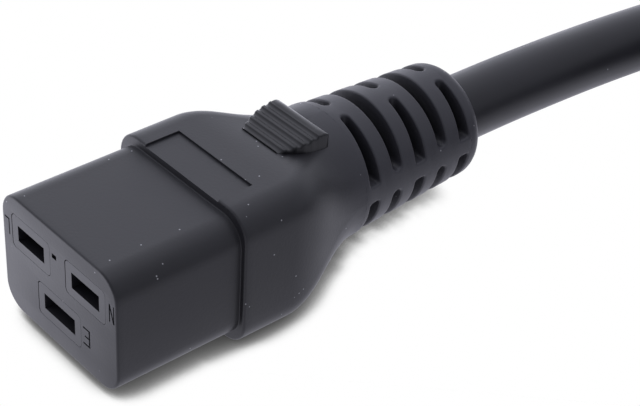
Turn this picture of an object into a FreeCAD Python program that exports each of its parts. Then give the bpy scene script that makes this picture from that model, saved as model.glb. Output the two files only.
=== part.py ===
import FreeCAD
import Part
import Sketcher

import math
import os
import re

# Moulded C19 connector on a round three-core lead, with a C20 plug on the far end.
# Millimetres. The origin is the centre of the connector's mating face, which looks along -Y.
# The connector runs along +Y and +Z is up. It rests on the flat underside of its flange.

Vector = FreeCAD.Vector

SIZES = {
    # pole layout of the mating face
    "pole_pitch": 13.0,
    "pole_row_rise": 4.15,
    "earth_drop": 8.05,
    "slot_width": 6.4,
    "earth_slot_width": 7.4,
    "slot_height": 2.65,
    # engagement block, flange body and shoulder of the connector
    "block_width": 27.4,
    "block_height": 19.9,
    "block_corner": 3.9,
    "block_length": 20.7,
    "nose_round": 0.45,
    "flange_step_side": 1.0,
    "flange_step_top": 1.45,
    "flange_corner": 4.3,
    "flange_length": 8.8,
    "flange_round": 0.7,
    "shoulder_length": 17.3,
    "shoulder_dip": 1.05,
    "neck_lip": 0.25,
    "neck_flat": 0.05,
    # strain relief of the connector
    "boot_rise": 0.7,
    "boot_length": 25.7,
    "boot_front_radius": 10.6,
    "boot_rear_radius": 9.3,
    "boot_end_round": 2.4,
    "relief_count": 5,
    "relief_first": 2.0,
    "relief_pitch": 4.85,
    "relief_gap": 2.05,
    "relief_wall": 1.4,
    "relief_edge": 0.3,
    "relief_side_bridge": 2.8,
    "relief_side_rise": 0.8,
    "relief_top_bridge": 3.2,
    "relief_top_shift": 0.5,
    # thumb grip
    "grip_setback": 4.9,
    "grip_length": 9.3,
    "grip_front_width": 8.6,
    "grip_rear_width": 10.8,
    "grip_foot_sink": 0.1,
    "grip_crest_rise": 0.95,
    "grip_crest_round": 1.1,
    "grip_root": 4.0,
    "rib_count": 5,
    "rib_pitch": 1.66,
    "rib_groove_radius": 0.6,
    "rib_groove_lift": 0.28,
    # recessed label panel and the small vent hole of the mating face
    "panel_width": 16.8,
    "panel_length": 6.0,
    "panel_depth": 0.35,
    "vent_width": 1.05,
    "vent_height": 0.75,
    "vent_depth": 2.0,
    "vent_offset": 0.78,
    "vent_rise": 5.55,
    # contact carrier
    "chamber_wall": 1.4,
    "chamber_cover": 1.5,
    "chamber_corner": 0.8,
    "carrier_front_wall": 2.6,
    "carrier_plate_thickness": 3.0,
    "carrier_wall": 1.7,
    "cavity_side_gap": 0.35,
    "cavity_half_height": 1.95,
    # contacts
    "contact_sheet": 0.6,
    "contact_clearance": 0.1,
    "contact_setback": 0.6,
    "contact_length": 12.0,
    "jaw_end_clearance": 0.8,
    "throat_half_gap": 0.85,
    "barrel_radius": 1.7,
    "barrel_length": 5.0,
    "strap_length": 2.2,
    "strap_width": 2.4,
    # cores and conductors
    "conductor_radius": 1.05,
    "conductor_clearance": 0.05,
    "core_radius": 1.9,
    "core_lay_radius": 2.7,
    "core_straight": 3.0,
    "core_settle": 1.5,
    "strip_length": 1.0,
    # inner moulding behind the carrier
    "inner_width": 21.6,
    "inner_height": 14.6,
    "inner_corner": 3.0,
    "inner_block_length": 11.5,
    "inner_tail_length": 12.5,
    "inner_tail_radius": 7.2,
    # lead
    "cord_diameter": 11.0,
    # coil of the put-away length: strands lie coil_layers wide and as many high
    "coil_middle_radius": 60.0,
    "coil_centre_across": 68.0,
    "coil_centre_along": 172.0,
    "coil_layers": 2,
    "coil_lead_in": 42.0,
    # plug
    "plug_across": 128.5,
    "plug_along": 5.0,
    "shroud_wall": 2.0,
    "shroud_clearance": 0.4,
    "shroud_corner": 4.6,
    "shroud_depth": 20.0,
    "shroud_base": 4.0,
    "pin_width": 6.0,
    "pin_thickness": 2.0,
    "pin_recess": 2.5,
    "pin_nose": 0.6,
    "pin_carrier_thickness": 3.0,
    "pin_carrier_margin": 2.4,
    "plug_inner_length": 4.0,
    "plug_inner_tail_length": 13.5,
}

doc = FreeCAD.newDocument("c19_connector")
sheet = doc.addObject("Spreadsheet::Sheet", "Sizes")
for row, (word, value) in enumerate(SIZES.items(), 1):
    sheet.set(f"A{row}", word)
    sheet.set(f"B{row}", str(value))
    sheet.setAlias(f"B{row}", word)
doc.recompute()

# Lengths that several pieces share, as formulas in the sheet's words.
FLOOR = "-(block_height / 2 + flange_step_top)"
SHOULDER_START = "(block_length + flange_length)"
BOOT_START = "(block_length + flange_length + shoulder_length)"
BOOT_END = "(block_length + flange_length + shoulder_length + boot_length)"
PLATE_START = "(carrier_front_wall + contact_setback + contact_length + jaw_end_clearance)"
PLATE_END = f"({PLATE_START} + carrier_plate_thickness)"
INNER_END = f"({PLATE_END} + inner_block_length + inner_tail_length)"
EARTH_ROW = "(pole_row_rise - earth_drop)"
CORD_RADIUS = "(cord_diameter / 2)"
SHROUD_WIDTH = "(block_width + 2 * shroud_clearance)"
SHROUD_HEIGHT = "(block_height + 2 * shroud_clearance)"
PLUG_BODY_START = "(shroud_depth + shroud_base)"
PLUG_BOOT_START = "(shroud_depth + shroud_base + shoulder_length)"
PLUG_END = "(shroud_depth + shroud_base + shoulder_length + boot_length)"
PLUG_RISE = "(shroud_wall + shroud_clearance - flange_step_top)"
PLUG_PLATE_END = "(shroud_depth + pin_carrier_thickness)"
PLUG_INNER_END = "(shroud_depth + pin_carrier_thickness + plug_inner_length + plug_inner_tail_length)"

# Each pole: name, place across, height, slot width, and where its core lies in the cord in degrees.
POLES = (
    ("line", "-pole_pitch / 2", "pole_row_rise", "slot_width", 150),
    ("neutral", "pole_pitch / 2", "pole_row_rise", "slot_width", 30),
    ("earth", "0", EARTH_ROW, "earth_slot_width", 270),
)


def bound(text):
    """A formula with each word of the sheet replaced by its cell's full name."""
    return re.sub(r"[a-z][a-z_]+", lambda m: f"Sizes.{m[0]}" if m[0] in SIZES else m[0], str(text))


gauge = doc.addObject("App::FeaturePython", "gauge")
gauge.addProperty("App::PropertyFloat", "reading")


def size(text):
    """The value of a formula in the sheet's words, worked out by the document itself."""
    gauge.setExpression("reading", bound(text))
    gauge.recompute()
    return float(gauge.reading)


def bind(thing, **formulas):
    """Tie properties of a thing to formulas; a double underscore stands for a dot."""
    for name, text in formulas.items():
        thing.setExpression(name.replace("__", "."), bound(text))
    return thing


def move(thing, x="0", y="0", z="0"):
    """Tie the place of a thing to formulas."""
    return bind(thing, Placement__Base__x=x, Placement__Base__y=y, Placement__Base__z=z)


# Plain solids and booleans, each bound to the sheet.


def block(name, x, y, z, wide, long, high):
    """A box that is centred on x and z and starts at y."""
    solid = bind(doc.addObject("Part::Box", name), Length=wide, Width=long, Height=high)
    return move(solid, f"{x} - ({wide}) / 2", y, f"{z} - ({high}) / 2")


def rod(name, x, y, z, radius, long):
    """A cylinder along +Y that starts at y."""
    solid = bind(doc.addObject("Part::Cylinder", name), Radius=radius, Height=long)
    solid.Placement.Rotation = FreeCAD.Rotation(Vector(1, 0, 0), -90)
    return move(solid, x, y, z)


def cone(name, x, y, z, front_radius, rear_radius, long):
    """A cone along +Y that starts at y."""
    solid = bind(doc.addObject("Part::Cone", name), Radius1=front_radius, Radius2=rear_radius, Height=long)
    solid.Placement.Rotation = FreeCAD.Rotation(Vector(1, 0, 0), -90)
    return move(solid, x, y, z)


def joined(name, *parts):
    solid = doc.addObject("Part::MultiFuse", name)
    solid.Shapes = list(parts)
    solid.Refine = True
    return solid


def without(name, base, tool):
    solid = doc.addObject("Part::Cut", name)
    solid.Base, solid.Tool = base, tool
    return solid


def rounded_edges(name, base, radius, chosen):
    """Round the edges of a solid that a test picks out."""
    doc.recompute()
    solid = doc.addObject("Part::Fillet", name)
    solid.Base = base
    edges = [n for n, edge in enumerate(base.Shape.Edges, 1) if chosen(edge)]
    solid.Edges = [(n, size(radius), size(radius)) for n in edges]
    return solid


# Sketches and bodies.


def body(name):
    return doc.addObject("PartDesign::Body", name)


def sketch(owner, name, role, along="0", up="0"):
    """A sketch on one of its body's own planes, moved along the plane's normal and up."""
    plane = next(f for f in owner.Origin.OriginFeatures if f.Role == role)
    made = owner.newObject("Sketcher::SketchObject", name)
    made.AttachmentSupport = (plane, "")
    made.MapMode = "FlatFace"
    return bind(made, AttachmentOffset__Base__z=along, AttachmentOffset__Base__y=up)


def fixed(made, rule, text):
    """Add a rule to a sketch and tie its size to a formula."""
    index = made.addConstraint(rule)
    made.setExpression(f"Constraints[{index}]", bound(text))


def rounded_section(owner, name, y, wide, high, corner, up="0"):
    """A rounded rectangle across the connector's axis, centred on the axis at height up."""
    made = sketch(owner, name, "XZ_Plane", f"-({y})", up)
    w, d, r = size(wide) / 2, size(high) / 2, size(corner)
    quarters = ((1, 1, 0), (-1, 1, 1), (-1, -1, 2), (1, -1, 3))
    for side_x, side_z, turn in quarters:
        centre = Vector(side_x * (w - r), side_z * (d - r), 0)
        circle = Part.Circle(centre, Vector(0, 0, 1), r)
        made.addGeometry(Part.ArcOfCircle(circle, turn * math.pi / 2, (turn + 1) * math.pi / 2))
    ends = ((w - r, d, r - w, d), (-w, d - r, -w, r - d), (r - w, -d, w - r, -d), (w, r - d, w, d - r))
    for x1, z1, x2, z2 in ends:
        made.addGeometry(Part.LineSegment(Vector(x1, z1, 0), Vector(x2, z2, 0)))
    for n in range(4):
        made.addConstraint(Sketcher.Constraint("Tangent", n, 2, 4 + n, 1))
        made.addConstraint(Sketcher.Constraint("Tangent", 4 + n, 2, (n + 1) % 4, 1))
        made.addConstraint(Sketcher.Constraint("Vertical" if n % 2 else "Horizontal", 4 + n))
    for n in range(1, 4):
        made.addConstraint(Sketcher.Constraint("Equal", 0, n))
    made.addConstraint(Sketcher.Constraint("Symmetric", 0, 3, 2, 3, -1, 1))
    fixed(made, Sketcher.Constraint("Radius", 0, r), corner)
    fixed(made, Sketcher.Constraint("DistanceX", 5, 1, 7, 1, 2 * w), wide)
    fixed(made, Sketcher.Constraint("DistanceY", 6, 1, 4, 1, 2 * d), high)
    return made


def outline(owner, name, role, corners, along="0", up="0"):
    """A closed outline of straight sides; each corner is a pair of formulas."""
    made = sketch(owner, name, role, along, up)
    points = [Vector(size(a), size(b), 0) for a, b in corners]
    for start, end in zip(points, points[1:] + points[:1]):
        made.addGeometry(Part.LineSegment(start, end))
    for n, (a, b) in enumerate(corners):
        made.addConstraint(Sketcher.Constraint("Coincident", n - 1 if n else len(points) - 1, 2, n, 1))
        fixed(made, Sketcher.Constraint("DistanceX", -1, 1, n, 1, points[n].x), a)
        fixed(made, Sketcher.Constraint("DistanceY", -1, 1, n, 1, points[n].y), b)
    return made


def pad(owner, name, profile, long):
    """Extrude a section towards +Y."""
    made = owner.newObject("PartDesign::Pad", name)
    made.Profile = profile
    made.Reversed = True
    return bind(made, Length=long)


def loft(owner, name, sections):
    made = owner.newObject("PartDesign::AdditiveLoft", name)
    made.Profile = sections[0]
    made.Sections = sections[1:]
    return made


def eased(first, last, share):
    """A size that glides from one formula to another along a smooth S."""
    return f"({first}) + (({last}) - ({first})) * {(1 - math.cos(math.pi * share)) / 2:.5f}"


SHOULDER_STEPS = 6
DIP_LATENESS = 1.25


def shoulder(owner, prefix, start, long, wide, high, corner, neck, rise, dip="0"):
    """Loft a rounded rectangle into a round neck along a smooth S; the top dips on the way."""
    sections = []
    for step in range(SHOULDER_STEPS + 1):
        share = step / SHOULDER_STEPS
        low = f"({dip}) * {math.sin(math.pi * share ** DIP_LATENESS) ** 2:.5f}"
        sections.append(
            rounded_section(
                owner,
                f"{prefix}_section_{step}",
                f"{start} + ({long}) * {share:.5f}",
                eased(wide, f"2 * ({neck})", share),
                f"{eased(high, f'2 * ({neck})', share)} - {low}",
                eased(corner, f"({neck}) - neck_flat", share),
                f"{eased('0', rise, share)} - {low} / 2",
            )
        )
    return loft(owner, f"{prefix}_shoulder", sections)


def strain_relief(prefix, start, long, rise):
    """A tapered boot. Its rings of slots are split at the parting line, every second one also on top."""
    taper = cone(f"{prefix}_taper", "0", start, rise, "boot_front_radius", "boot_rear_radius", long)
    end = size(f"{start} + ({long})")
    soft = rounded_edges(
        f"{prefix}_soft_taper",
        taper,
        "boot_end_round",
        lambda edge: all(abs(v.Y - end) < 1e-6 for v in edge.Vertexes),
    )
    cutters = []
    for ring in range(int(size("relief_count"))):
        middle = f"relief_first + relief_pitch * {ring}"
        surface = f"(boot_front_radius + (boot_rear_radius - boot_front_radius) * ({middle}) / ({long}))"
        owner = body(f"{prefix}_ring_{ring}")
        gap, edge, core = "relief_gap / 2", "relief_edge", f"{CORD_RADIUS} + relief_wall"
        corners = (
            (f"{middle} - {gap}", core),
            (f"{middle} + {gap}", core),
            (f"{middle} + {gap}", f"{surface} - {edge}"),
            (f"{middle} + {gap} + {edge}", surface),
            (f"{middle} + {gap} + {edge}", f"{surface} + {edge}"),
            (f"{middle} - {gap} - {edge}", f"{surface} + {edge}"),
            (f"{middle} - {gap} - {edge}", surface),
            (f"{middle} - {gap}", f"{surface} - {edge}"),
        )
        profile = outline(owner, f"{prefix}_ring_profile_{ring}", "YZ_Plane", corners)
        turned = owner.newObject("PartDesign::Revolution", f"{prefix}_ring_turn_{ring}")
        turned.Profile = profile
        turned.ReferenceAxis = (profile, ["H_Axis"])
        turned.Angle = 360
        move(owner, "0", start, rise)
        front, reach = f"{start} + {middle} - relief_gap", "4 * boot_front_radius"
        bridges = block(
            f"{prefix}_side_bridge_{ring}", "0", front, f"{rise} + relief_side_rise",
            reach, "2 * relief_gap", "relief_side_bridge",
        )
        if ring % 2 == 0:
            top = block(
                f"{prefix}_top_bridge_{ring}", "relief_top_shift", front, rise,
                "relief_top_bridge", "2 * relief_gap", reach,
            )
            bridges = joined(f"{prefix}_bridges_{ring}", bridges, top)
        cutters.append(without(f"{prefix}_slots_{ring}", owner, bridges))
    slots = doc.addObject("Part::Compound", f"{prefix}_slots")
    slots.Links = cutters
    return without(f"{prefix}_relief", soft, slots)


def moulded_grip(prefix, start, top):
    """A wedge that rises and widens to the rear, with scooped ribs across its slope."""
    wedge = doc.addObject("Part::Wedge", f"{prefix}_wedge")
    root = f"({top}) - grip_root"
    bind(
        wedge,
        Xmin="-grip_front_width / 2",
        Xmax="grip_front_width / 2",
        X2min="-grip_rear_width / 2",
        X2max="grip_rear_width / 2",
        Ymin=start,
        Ymax=f"{start} + grip_length",
        Zmin=root,
        Zmax=f"({top}) - grip_foot_sink",
        Z2min=root,
        Z2max=f"({top}) + grip_crest_rise",
    )
    rear = size(f"{start} + grip_length")
    crest = size(f"({top}) + grip_crest_rise")
    soft = rounded_edges(
        f"{prefix}_soft_wedge",
        wedge,
        "grip_crest_round",
        lambda edge: all(abs(v.Y - rear) < 1e-6 and abs(v.Z - crest) < 1e-6 for v in edge.Vertexes),
    )
    grooves = []
    for rib in range(int(size("rib_count"))):
        along = f"(rib_pitch * {rib} + rib_pitch / 2)"
        slope = f"(grip_crest_rise + grip_foot_sink) * {along} / grip_length"
        groove = doc.addObject("Part::Cylinder", f"{prefix}_groove_{rib}")
        groove.Placement.Rotation = FreeCAD.Rotation(Vector(0, 1, 0), 90)
        bind(groove, Radius="rib_groove_radius", Height="2 * grip_rear_width")
        lift = f"({top}) - grip_foot_sink + {slope} + rib_groove_lift"
        grooves.append(move(groove, "-grip_rear_width", f"{start} + {along}", lift))
    scoops = doc.addObject("Part::Compound", f"{prefix}_grooves")
    scoops.Links = grooves
    return without(f"{prefix}_grip", soft, scoops)


# Routes of cores and cord: straight runs joined by arcs that are tangent to both.


ARC_SHARE = 0.45


def route_wire(points):
    """A wire through hand-chosen points; each arc takes ARC_SHARE of the shorter run at its corner."""
    points = [Vector(*p) for p in points]
    edges, radii, start = [], [], points[0]
    for before, corner, after in zip(points, points[1:], points[2:]):
        back, on = (before - corner), (after - corner)
        half = (math.pi - back.getAngle(on)) / 2
        reach = ARC_SHARE * min(back.Length, on.Length)
        radii.append(reach / math.tan(half))
        back.normalize()
        on.normalize()
        first, last = corner + back * reach, corner + on * reach
        inward = (back + on).normalize()
        middle = corner + inward * (radii[-1] / math.cos(half) - radii[-1])
        edges.append(Part.LineSegment(start, first).toShape())
        edges.append(Part.Arc(first, middle, last).toShape())
        start = last
    edges.append(Part.LineSegment(start, points[-1]).toShape())
    return Part.Wire(edges), radii


def swept(points, radius):
    """A round bar along a route."""
    wire, radii = route_wire(points)
    direction = Vector(*points[1]) - Vector(*points[0])
    ring = Part.Wire(Part.makeCircle(radius, Vector(*points[0]), direction))
    return wire.makePipeShell([ring], True, False), wire.Length, radii


def shaped(name, shape):
    """A document object for a shape that neither a primitive nor a body makes."""
    made = doc.addObject("Part::Feature", name)
    made.Shape = shape
    return made


def section_of_cavity(owner, name, y, wide, corner):
    """The outline of one pole's chamber, around its slot."""
    return rounded_section(
        owner, name, y, f"{wide} + 2 * chamber_wall", "slot_height + 2 * chamber_cover", corner
    )


PIECES = {}


def piece(node, thing):
    """Note an object of the document as a finished piece of the product."""
    thing.Label = node
    PIECES[node] = thing
    return thing


# The contact carrier: three chambers that reach the mating face, on one plate.


def chamber(name, x, z, wide, start, long):
    owner = body(name)
    section = section_of_cavity(owner, f"{name}_outline", start, wide, "chamber_corner")
    pad(owner, f"{name}_pad", section, long)
    return move(owner, x, "0", z)


def carrier_plate(name):
    owner = body(name)
    outline_of_plate = rounded_section(
        owner,
        f"{name}_outline",
        PLATE_START,
        "block_width - 2 * carrier_wall",
        "block_height - 2 * carrier_wall",
        "block_corner - carrier_wall",
    )
    pad(owner, f"{name}_pad", outline_of_plate, "carrier_plate_thickness")
    return owner


def carrier_blank():
    """The carrier's outer form, which the overmould closes round."""
    towers = [
        chamber(f"{pole}_chamber", x, z, wide, "0", PLATE_START) for pole, x, z, wide, _ in POLES
    ]
    return joined("carrier_blank", carrier_plate("carrier_plate"), *towers)


def contact_carrier(blank):
    """Slots in the face, roomier cavities behind them, and round holes for the crimp barrels."""
    tools = []
    for pole, x, z, wide, _ in POLES:
        tools += [
            block(
                f"{pole}_slot", x, "-carrier_front_wall", z, wide,
                "3 * carrier_front_wall", "slot_height",
            ),
            block(
                f"{pole}_cavity", x, "carrier_front_wall", z, f"{wide} + 2 * cavity_side_gap",
                f"{PLATE_START} - carrier_front_wall", "2 * cavity_half_height",
            ),
            rod(
                f"{pole}_barrel_hole", x, f"{PLATE_START} - contact_clearance", z,
                "barrel_radius + contact_clearance", "carrier_plate_thickness + 2 * contact_clearance",
            ),
        ]
    return piece("contact_carrier", without("contact_carrier", blank, joined("carrier_hollows", *tools)))


# The contacts: a sprung jaw that meets the pin from above and below, a strap, and a crimp barrel.

JAW_START = "(carrier_front_wall + contact_setback)"
JAW_END = "(carrier_front_wall + contact_setback + contact_length)"
JAW_HALF = "(cavity_half_height - contact_clearance)"
BARREL_START = "(carrier_front_wall + contact_setback + contact_length + strap_length)"
BARREL_END = "(carrier_front_wall + contact_setback + contact_length + strap_length + barrel_length)"


def sprung_jaw(name, wide):
    """Sheet folded to a U whose arms close to a throat and open again at the mouth."""
    throat = f"{JAW_START} + contact_length / 4"
    outer = f"({JAW_HALF})"
    inner = f"({JAW_HALF} - contact_sheet)"
    corners = (
        (JAW_START, outer),
        (throat, "throat_half_gap + contact_sheet"),
        (JAW_END, outer),
        (JAW_END, f"-{outer}"),
        (throat, "-(throat_half_gap + contact_sheet)"),
        (JAW_START, f"-{outer}"),
        (JAW_START, f"-{inner}"),
        (throat, "-throat_half_gap"),
        (f"{JAW_END} - contact_sheet", f"-{inner}"),
        (f"{JAW_END} - contact_sheet", inner),
        (throat, "throat_half_gap"),
        (JAW_START, inner),
    )
    owner = body(name)
    profile = outline(owner, f"{name}_profile", "YZ_Plane", corners)
    sheet_pad = owner.newObject("PartDesign::Pad", f"{name}_pad")
    sheet_pad.Profile = profile
    sheet_pad.Midplane = True
    bind(sheet_pad, Length=wide)
    return owner


def barrel(prefix, x, z, start):
    """An open crimp barrel that holds the bare end of a conductor."""
    tube = rod(f"{prefix}_barrel", x, start, z, "barrel_radius", "barrel_length")
    bore = rod(
        f"{prefix}_barrel_bore", x, f"{start} + contact_sheet", z,
        "conductor_radius + conductor_clearance", "barrel_length",
    )
    return without(f"{prefix}_crimp", tube, bore)


def contact(pole, x, z, wide):
    jaw = move(sprung_jaw(f"{pole}_jaw", wide), x, "0", z)
    strap = block(
        f"{pole}_strap", x, f"{JAW_END} - contact_sheet", z,
        "strap_width", "strap_length + 2 * contact_sheet", "contact_sheet",
    )
    crimp = barrel(pole, x, z, BARREL_START)
    return piece(f"{pole}_contact", joined(f"{pole}_contact", jaw, strap, crimp))


# Cores and their conductors, from a barrel to the end of the boot.


def core_route(x, z, barrel_end, settle_end, end, lay, rise):
    """Straight out of the barrel, then an S-bend to the core's place in the lay of the lead."""
    lay_x = size("core_lay_radius") * math.cos(math.radians(lay))
    lay_z = size("core_lay_radius") * math.sin(math.radians(lay)) + size(rise)
    start = size(f"{barrel_end} + strip_length")
    return (
        (size(x), start, size(z)),
        (size(x), start + size("core_straight"), size(z)),
        (lay_x, size(f"{settle_end} - core_settle"), lay_z),
        (lay_x, size(end), lay_z),
    )


def core_and_conductor(prefix, x, z, barrel_start, settle_end, end, lay, rise, place):
    """The insulated core, its conductor, and the two together for cutting what is moulded round them."""
    route = core_route(x, z, f"{barrel_start} + barrel_length", settle_end, end, lay, rise)
    full, _, _ = swept(route, size("core_radius"))
    bore, _, _ = swept(route, size("conductor_radius + conductor_clearance"))
    strand, _, _ = swept(route, size("conductor_radius"))
    bare_start = Vector(size(x), size(f"{barrel_start} + contact_sheet + conductor_clearance"), size(z))
    bare_length = route[0][1] - bare_start.y
    bare = Part.makeCylinder(size("conductor_radius"), bare_length, bare_start, Vector(0, 1, 0))
    strand = strand.fuse(bare).removeSplitter()
    core = shaped(f"{prefix}_core", full.cut(bore))
    conductor = shaped(f"{prefix}_conductor", strand)
    for thing in (core, conductor):
        move(thing, *place)
        piece(thing.Name, thing)
    return full.fuse(strand)


# The inner moulding grips the barrels and the cores behind the pole plate.


def inner_blank(prefix, start, long, tail_long, rise):
    owner = body(f"{prefix}_inner_blank")
    outside = ("inner_width", "inner_height", "inner_corner")
    front = rounded_section(owner, f"{prefix}_inner_front", start, *outside)
    pad(owner, f"{prefix}_inner_pad", front, long)
    shoulder(owner, f"{prefix}_inner", f"{start} + {long}", tail_long, *outside, "inner_tail_radius", rise)
    return owner


def inner_moulding(node, prefix, blank, poles, barrel_start, core_seats):
    seats = [
        rod(f"{prefix}_{pole}_seat", x, barrel_start, z, "barrel_radius", "barrel_length")
        for pole, x, z in poles
    ]
    pierced = without(f"{prefix}_inner_barrels", blank, joined(f"{prefix}_seats", *seats))
    return without(node, pierced, core_seats)


def jacket_end(node, start, end, rise, core_seats):
    """The lead's jacket inside the boot, closed round its cores."""
    return without(node, rod(f"{node}_round", "0", start, rise, CORD_RADIUS, f"{end} - {start}"), core_seats)


# The overmould of the connector.


def connector_skin():
    """Engagement block, flange and shoulder as one moulded form, with softened front edges."""
    owner = body("connector_form")
    front = rounded_section(owner, "block_outline", "0", "block_width", "block_height", "block_corner")
    pad(owner, "block_pad", front, "block_length")
    flange = ("block_width + 2 * flange_step_side", "block_height + 2 * flange_step_top", "flange_corner")
    flange_front = rounded_section(owner, "flange_outline", "block_length", *flange)
    pad(owner, "flange_pad", flange_front, "flange_length")
    shoulder(
        owner, "connector", SHOULDER_START, "shoulder_length", *flange,
        "boot_front_radius + neck_lip", "boot_rise", "shoulder_dip",
    )
    nose = rounded_edges(
        "nose_softened", owner, "nose_round", lambda edge: all(abs(v.Y) < 1e-6 for v in edge.Vertexes)
    )
    front_y, half = size("block_length"), size("block_height / 2 + flange_step_top / 2")
    side = size("block_width / 2 + flange_step_side / 2")

    def on_flange_front(edge):
        on_plane = all(abs(v.Y - front_y) < 1e-6 for v in edge.Vertexes)
        return on_plane and all(abs(v.X) > side or abs(v.Z) > half for v in edge.Vertexes)

    return rounded_edges("flange_softened", nose, "flange_round", on_flange_front)


def connector_overmould(carrier, inner):
    grip = moulded_grip("thumb", f"{SHOULDER_START} + grip_setback", f"-{FLOOR}")
    relief = strain_relief("connector_boot", BOOT_START, "boot_length", "boot_rise")
    form = joined("connector_outside", connector_skin(), grip, relief)
    panel = block(
        "label_panel", "0", "block_length - panel_length", f"-{FLOOR}",
        "panel_width", "2 * panel_length", "2 * panel_depth",
    )
    vent = block(
        "vent_hole", "-vent_offset", "-vent_depth", "vent_rise",
        "vent_width", "2 * vent_depth", "vent_height",
    )
    lead_length = f"{BOOT_END} - {INNER_END}"
    lead = rod("connector_lead_hole", "0", INNER_END, "boot_rise", CORD_RADIUS, lead_length)
    hollow = doc.addObject("Part::Compound", "connector_hollow")
    hollow.Links = [panel, vent]
    insides = joined("connector_insides", carrier, inner, lead)
    return piece(
        "connector_overmould",
        without("connector_overmould", without("connector_recessed", form, hollow), insides),
    )


carrier_form = carrier_blank()
contact_carrier(carrier_form)
connector_cores = []
for pole, x, z, wide, lay in POLES:
    contact(pole, x, z, wide)
    connector_cores.append(
        core_and_conductor(pole, x, z, BARREL_START, INNER_END, BOOT_END, lay, "boot_rise", ("0", "0", "0"))
    )
connector_seats = shaped("connector_core_seats", connector_cores[0].fuse(connector_cores[1:]))
connector_inner = inner_blank("connector", PLATE_END, "inner_block_length", "inner_tail_length", "boot_rise")
piece(
    "inner_moulding",
    inner_moulding(
        "inner_moulding", "connector", connector_inner,
        [(pole, x, z) for pole, x, z, _, _ in POLES], BARREL_START, connector_seats,
    ),
)
piece("jacket_end", jacket_end("jacket_end", INNER_END, BOOT_END, "boot_rise", connector_seats))
connector_overmould(carrier_form, connector_inner)


# The plug: a shroud round three flat pins, on the same shoulder and boot as the connector.
# Seen from its mating face the live poles are the other way round from the connector's.

PLUG_PLACE = ("plug_across", "plug_along", PLUG_RISE)
PIN_ROW_MIDDLE = "(pole_row_rise - earth_drop / 2)"
PLUG_POLES = (
    ("plug_line", "pole_pitch / 2", "pole_row_rise", 30),
    ("plug_neutral", "-pole_pitch / 2", "pole_row_rise", 150),
    ("plug_earth", "0", EARTH_ROW, 270),
)


def pin_carrier_blank():
    owner = body("pin_carrier_blank")
    plate = rounded_section(
        owner,
        "pin_carrier_outline",
        "shroud_depth",
        "pole_pitch + pin_width + 2 * pin_carrier_margin",
        "earth_drop + pin_thickness + 2 * pin_carrier_margin",
        "pin_carrier_margin",
        PIN_ROW_MIDDLE,
    )
    pad(owner, "pin_carrier_pad", plate, "pin_carrier_thickness")
    return owner


def pin(node, x, z):
    """A flat pin with a bevelled nose and a crimp barrel behind the carrier."""
    long = f"{PLUG_PLATE_END} - pin_recess"
    blade = block(f"{node}_blade", x, "pin_recess", z, "pin_width", long, "pin_thickness")
    doc.recompute()
    nose = size("pin_recess")
    bevelled = doc.addObject("Part::Chamfer", f"{node}_bevelled")
    bevelled.Base = blade
    edges = enumerate(blade.Shape.Edges, 1)
    front = [n for n, edge in edges if all(abs(v.Y - nose) < 1e-6 for v in edge.Vertexes)]
    bevelled.Edges = [(n, size("pin_nose"), size("pin_nose")) for n in front]
    return bevelled


def plug_overmould(carrier, inner):
    owner = body("plug_form")
    outside = (f"{SHROUD_WIDTH} + 2 * shroud_wall", f"{SHROUD_HEIGHT} + 2 * shroud_wall", "shroud_corner")
    neck = "boot_front_radius + neck_lip"
    front = rounded_section(owner, "shroud_outline", "0", *outside)
    pad(owner, "shroud_pad", front, PLUG_BODY_START)
    shoulder(owner, "plug", PLUG_BODY_START, "shoulder_length", *outside, neck, "0")
    relief = strain_relief("plug_boot", PLUG_BOOT_START, "boot_length", "0")
    rim = rounded_edges(
        "shroud_softened", owner, "nose_round", lambda edge: all(abs(v.Y) < 1e-6 for v in edge.Vertexes)
    )
    mouth = body("shroud_mouth")
    opening = rounded_section(
        mouth, "shroud_mouth_outline", "0", SHROUD_WIDTH, SHROUD_HEIGHT, "block_corner + shroud_clearance"
    )
    pad(mouth, "shroud_mouth_pad", opening, "shroud_depth")
    lead = rod("plug_lead_hole", "0", PLUG_INNER_END, "0", CORD_RADIUS, f"{PLUG_END} - {PLUG_INNER_END}")
    form = joined("plug_outside", rim, relief)
    return without("plug_overmould", form, joined("plug_insides", mouth, carrier, inner, lead))


pin_carrier_form = pin_carrier_blank()
plug_inner = inner_blank("plug", PLUG_PLATE_END, "plug_inner_length", "plug_inner_tail_length", "0")
plug_cores, blades = [], []
for pole, x, z, lay in PLUG_POLES:
    blade = pin(f"{pole}_pin", x, z)
    blades.append(blade)
    crimp = barrel(pole, x, z, PLUG_PLATE_END)
    piece(f"{pole}_pin", move(joined(f"{pole}_pin", blade, crimp), *PLUG_PLACE))
    plug_cores.append(
        core_and_conductor(pole, x, z, PLUG_PLATE_END, PLUG_INNER_END, PLUG_END, lay, "0", PLUG_PLACE)
    )
plug_seats = shaped("plug_core_seats", plug_cores[0].fuse(plug_cores[1:]))
piece(
    "plug_pin_carrier",
    move(without("plug_pin_carrier", pin_carrier_form, joined("pin_slots", *blades)), *PLUG_PLACE),
)
piece(
    "plug_inner_moulding",
    move(
        inner_moulding(
            "plug_inner_moulding", "plug", plug_inner,
            [(pole, x, z) for pole, x, z, _ in PLUG_POLES], PLUG_PLATE_END, plug_seats,
        ),
        *PLUG_PLACE,
    ),
)
piece(
    "plug_jacket_end",
    move(jacket_end("plug_jacket_end", PLUG_INNER_END, PLUG_END, "0", plug_seats), *PLUG_PLACE),
)
piece("plug_overmould", move(plug_overmould(pin_carrier_form, plug_inner), *PLUG_PLACE))


# The lead. Its route is chosen by hand; the ends meet the two boots and the coil.

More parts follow.
